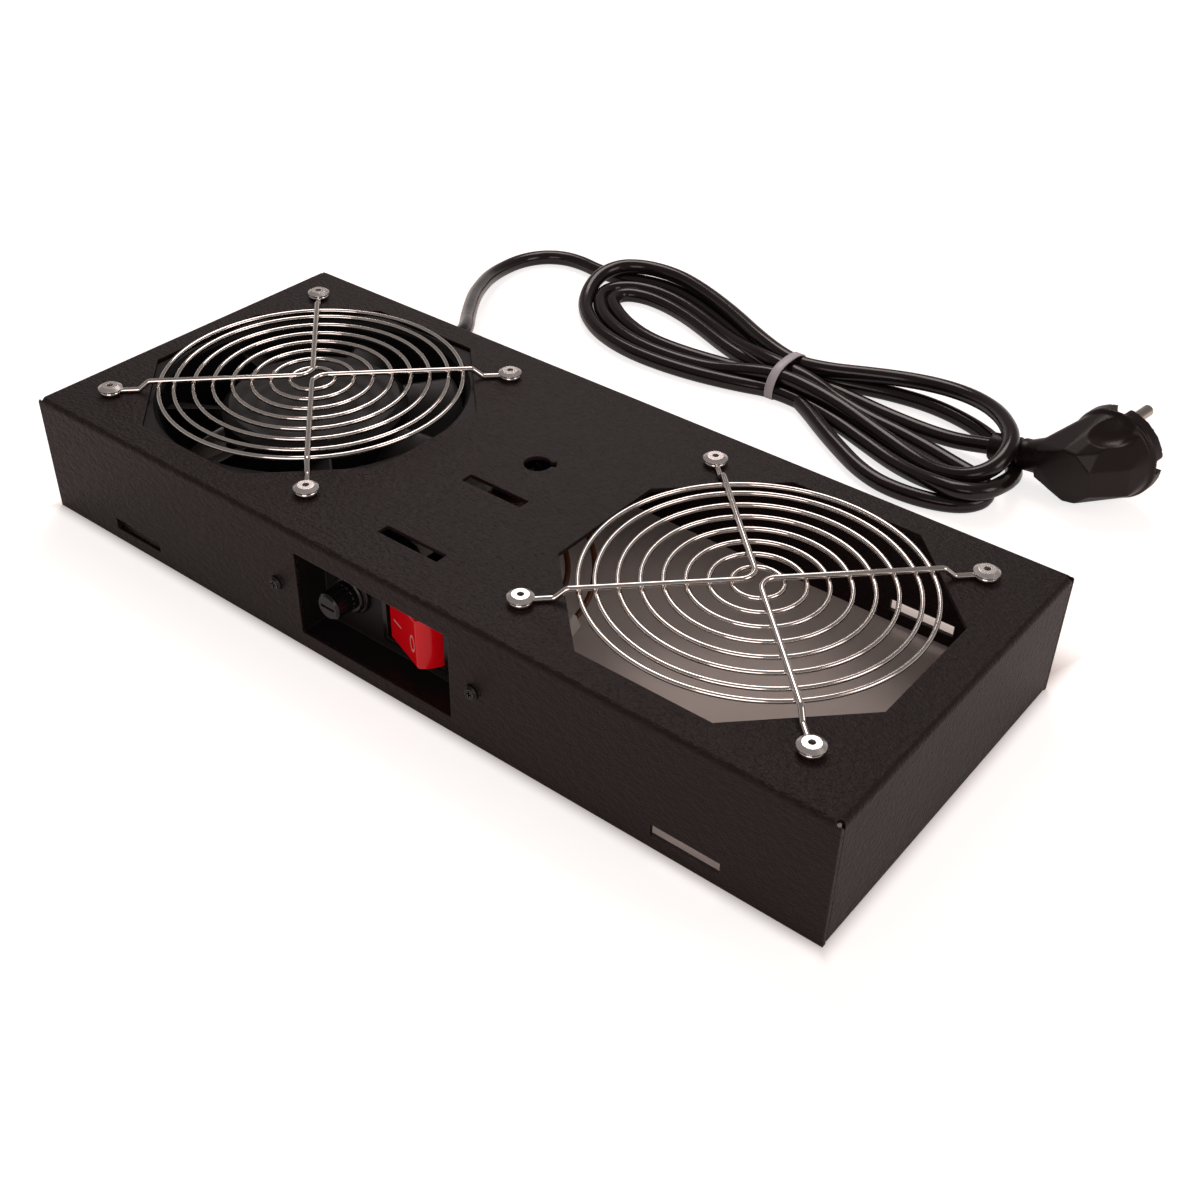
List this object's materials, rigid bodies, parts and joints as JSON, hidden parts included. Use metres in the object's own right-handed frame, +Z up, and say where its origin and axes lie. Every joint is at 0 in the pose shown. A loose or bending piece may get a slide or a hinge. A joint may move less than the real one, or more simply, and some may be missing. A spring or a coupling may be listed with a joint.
{
  "type": "rack fan tray",
  "caption": "Folded black steel rack fan tray with two guarded fan openings, one axial fan, a recessed switch and fuse holder, and a tied mains cord with an angled plug.",
  "frame": {"origin": "middle of the tray's footprint, on the surface it stands on", "axes": "+X along the tray's long side, to the right seen from the control recess; +Y from the recess towards the cord; +Z up"},
  "size_m": [0.3535, 0.3097, 0.0528],
  "materials": {
    "textured_black": "rough textured powder coat",
    "black_steel": "blackened steel",
    "chrome_wire": "bright plate",
    "zinc": "zinc plate",
    "black_casting": "satin black",
    "fan_plastic": "satin",
    "dark_steel": "bare lamination steel",
    "ground_steel": "ground",
    "copper": "enamelled wire",
    "foil": "satin foil",
    "gloss_black": "glossy",
    "brass": "drawn",
    "clear_glass": "clear",
    "nickel": "nickel plate",
    "tinned_brass": "tin plate",
    "white_nylon": "natural",
    "red_clear": "tinted, glossy",
    "lamp_glass": "clear",
    "black_rubber": "matt",
    "black_pvc": "satin gloss",
    "black_pvc_plug": "fine satin",
    "grey_nylon": "natural",
    "brown_pvc": "satin",
    "blue_pvc": "satin",
    "green_pvc": "satin"
  },
  "bodies": {
    "tray_body": {"tray": "textured_black", "control_bracket": "textured_black", "bracket_screws": "black_steel", "finger_guard_left": "chrome_wire", "finger_guard_right": "chrome_wire", "guard_rivets_left": "zinc", "guard_rivets_right": "zinc", "fan_frame": "black_casting", "fan_bearings": "ground_steel", "stator_core": "dark_steel", "stator_windings": "copper", "fan_label": "foil", "fuse_holder_body": "gloss_black", "fuse_holder_nut": "gloss_black", "fuse_terminals": "tinned_brass", "fuse_connectors": "white_nylon", "switch_housing": "gloss_black", "switch_lamp": "lamp_glass", "switch_terminals": "tinned_brass", "switch_connectors": "white_nylon", "cord_bushing": "black_rubber", "mains_cord": "black_pvc", "cord_hank": "black_pvc", "cord_tie": "grey_nylon", "plug_body": "black_pvc_plug", "plug_pins": "nickel", "plug_earth_clips": "nickel", "earth_stud": "zinc", "earth_nut": "zinc", "earth_tongue": "tinned_brass", "brown_leads": "brown_pvc", "blue_leads": "blue_pvc", "earth_lead": "green_pvc", "splice_caps": "white_nylon", "fan_leads": "black_pvc", "spare_leads": "brown_pvc", "spare_connectors": "white_nylon"},
    "fan_rotor": {"fan_impeller": "fan_plastic", "rotor_cage": "dark_steel", "rotor_shaft": "ground_steel", "shaft_clip": "ground_steel"},
    "fuse_drawer": {"fuse_carrier": "brass", "fuse_cartridge": "clear_glass", "fuse_end_caps": "nickel"},
    "fuse_knob": {"fuse_cap": "gloss_black"},
    "rocker": {"switch_rocker": "red_clear"}
  },
  "joints": [
    {"name": "fan_spin", "type": "hinge", "parent": "tray_body", "child": "fan_rotor", "pos_m": [-0.1022, 0, 0.027], "axis": [0, 0, 1], "continuous": true},
    {"name": "switch_rock", "type": "hinge", "parent": "tray_body", "child": "rocker", "pos_m": [0.007, -0.056, 0.02265], "axis": [0, 0, 1], "range_deg": [0, 39.4]},
    {"name": "fuse_pull", "type": "slide", "parent": "tray_body", "child": "fuse_drawer", "axis": [0, -1, 0], "range_m": [0, 0.03]},
    {"name": "fuse_turn", "type": "hinge", "parent": "fuse_drawer", "child": "fuse_knob", "pos_m": [-0.023, -0.062, 0.02265], "axis": [0, 1, 0], "range_deg": [0, 60]}
  ]
}
